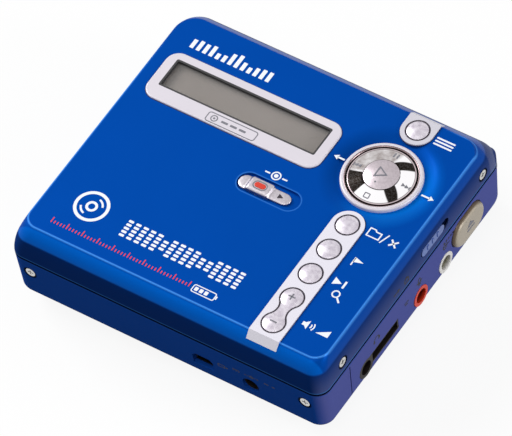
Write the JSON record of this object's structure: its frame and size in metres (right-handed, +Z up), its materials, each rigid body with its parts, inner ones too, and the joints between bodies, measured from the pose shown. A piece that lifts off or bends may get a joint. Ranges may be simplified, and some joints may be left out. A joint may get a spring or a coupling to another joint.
{
  "type": "portable disc recorder",
  "caption": "Closed pocket recorder for small discs in cartridges: hinged lid with display, keys and dial, swing-out disc holder, drive, sockets along one wall and a battery door.",
  "frame": {"origin": "middle of the base's flat underside", "axes": "+X to the right along the display, +Y to the hinge at the back, +Z up out of the lid"},
  "size_m": [0.0821, 0.0744, 0.0289],
  "materials": {
    "lid_paint": "satin metallic blue paint",
    "base_paint": "satin dark blue paint",
    "silver": "silver painted, satin",
    "button": "pearly grey, domed",
    "polished": "bright polished, radially reflecting",
    "window": "clear polished cover",
    "lcd": "grey-green display panel",
    "beige": "warm silver paint",
    "red": "gloss",
    "white": "gloss",
    "black": "moulded black",
    "mauve": "grey-mauve paint",
    "screw": "bright zinc",
    "steel": "plain sheet",
    "tin": "plated",
    "magnesium": "cast and trimmed",
    "board": "green solder mask",
    "chip": "black packages",
    "rubber": "soft",
    "lens": "coated",
    "brass": "turned"
  },
  "bodies": {
    "base": {"base_shell": "base_paint", "battery_tube": "black", "battery_contact_plus": "tin", "line_in_jack": "white", "mic_jack": "red", "headphone_socket": "black", "usb_socket": "tin", "dc_jack": "black", "main_board": "board", "board_chips": "chip", "mech_chassis": "magnesium", "chassis_dampers": "rubber", "spindle_motor": "steel", "guide_rods": "steel", "sled_motor": "steel", "base_screws": "screw"},
    "lid": {"lid_shell": "lid_paint", "display_bezel": "silver", "display_window": "window", "lcd_panel": "lcd", "button_strip": "silver", "menu_plate": "silver", "dial_ring": "silver", "lid_frame": "steel", "key_board": "board", "key_switches": "steel", "lid_screws": "screw", "hinge_pins": "steel"},
    "holder": {"disc_holder": "steel"},
    "head": {"head_carriage": "black"},
    "group_key": {"group_button": "button"},
    "mark_key": {"mark_button": "button"},
    "search_key": {"search_button": "button"},
    "menu_key": {"menu_button": "button"},
    "rocker": {"volume_rocker": "button"},
    "stem": {"dial_stem": "black"},
    "dial": {"dial_disc": "polished"},
    "enter_key": {"enter_button": "button"},
    "recorder_slide": {"rec_slider": "silver", "rec_inset": "red"},
    "hold": {"hold_slider": "mauve"},
    "opener": {"open_button": "beige", "latch_plate": "steel"},
    "cell_door": {"battery_door": "base_paint", "battery_door_pin": "steel", "battery_contact_minus": "tin"},
    "platter": {"turntable": "black", "turntable_magnet": "steel"},
    "sled": {"pickup_sled": "magnesium", "pickup_lens": "lens"},
    "screw": {"lead_screw": "brass"}
  },
  "joints": [
    {"name": "lid_hinge", "type": "hinge", "parent": "base", "child": "lid", "pos_m": [0, 0.0354, 0.0172], "axis": [-1, 0, 0], "range_deg": [0, 45]},
    {"name": "holder_hinge", "type": "hinge", "parent": "base", "child": "holder", "pos_m": [0, 0.0354, 0.0172], "axis": [-1, 0, 0], "range_deg": [0, 27]},
    {"name": "group_press", "type": "slide", "parent": "lid", "child": "group_key", "axis": [0, 0, -1], "range_m": [0, 0.0004], "stiffness_N_per_m": 300},
    {"name": "mark_press", "type": "slide", "parent": "lid", "child": "mark_key", "axis": [0, 0, -1], "range_m": [0, 0.0004], "stiffness_N_per_m": 300},
    {"name": "search_press", "type": "slide", "parent": "lid", "child": "search_key", "axis": [0, 0, -1], "range_m": [0, 0.0004], "stiffness_N_per_m": 300},
    {"name": "menu_press", "type": "slide", "parent": "lid", "child": "menu_key", "axis": [0, 0, -1], "range_m": [0, 0.0004], "stiffness_N_per_m": 300},
    {"name": "volume_tilt", "type": "hinge", "parent": "lid", "child": "rocker", "pos_m": [0.02535, -0.02732, 0.026], "axis": [1, 0, 0], "range_deg": [-3, 3], "stiffness_Nm_per_rad": 0.01},
    {"name": "dial_tilt_lengthways", "type": "hinge", "parent": "lid", "child": "stem", "pos_m": [0.0248, 0.0131, 0.0255], "axis": [1, 0, 0], "range_deg": [-2, 2], "stiffness_Nm_per_rad": 0.01},
    {"name": "dial_tilt_sideways", "type": "hinge", "parent": "stem", "child": "dial", "pos_m": [0.0248, 0.0131, 0.0255], "axis": [0, 1, 0], "range_deg": [-2, 2], "stiffness_Nm_per_rad": 0.01},
    {"name": "enter_press", "type": "slide", "parent": "dial", "child": "enter_key", "axis": [0, 0, -1], "range_m": [0, 0.00035], "stiffness_N_per_m": 300},
    {"name": "record_slide", "type": "slide", "parent": "lid", "child": "recorder_slide", "axis": [1, 0, 0], "range_m": [0, 0.002], "stiffness_N_per_m": 200},
    {"name": "hold_slide", "type": "slide", "parent": "lid", "child": "hold", "axis": [0, 1, 0], "range_m": [0, 0.0018]},
    {"name": "open_push", "type": "slide", "parent": "base", "child": "opener", "axis": [-1, 0, 0], "range_m": [0, 0.0012], "stiffness_N_per_m": 300},
    {"name": "battery_door_hinge", "type": "hinge", "parent": "base", "child": "cell_door", "pos_m": [-0.03947, 0.0166, 0.009], "axis": [-0.0349, 0, 0.9994], "range_deg": [0, 90]},
    {"name": "platter_spin", "type": "hinge", "parent": "base", "child": "platter", "pos_m": [0, -0.0007, 0.015], "axis": [0, 0, 1], "continuous": true},
    {"name": "sled_travel", "type": "slide", "parent": "base", "child": "sled", "axis": [-1, 0, 0], "range_m": [0, 0.016]},
    {"name": "screw_turn", "type": "hinge", "parent": "base", "child": "screw", "pos_m": [-0.02, -0.0139, 0.0128], "axis": [1, 0, 0], "range_deg": [0, 1920]},
    {"name": "head_travel", "type": "slide", "parent": "holder", "child": "head", "axis": [-1, 0, 0], "range_m": [0, 0.016]}
  ],
  "couplings": [
    {"joint": "holder_hinge", "follows": "lid_hinge", "ratio": 0.6},
    {"joint": "screw_turn", "follows": "sled_travel", "rad_per_m": 2094.4},
    {"joint": "head_travel", "follows": "sled_travel", "ratio": 1}
  ]
}
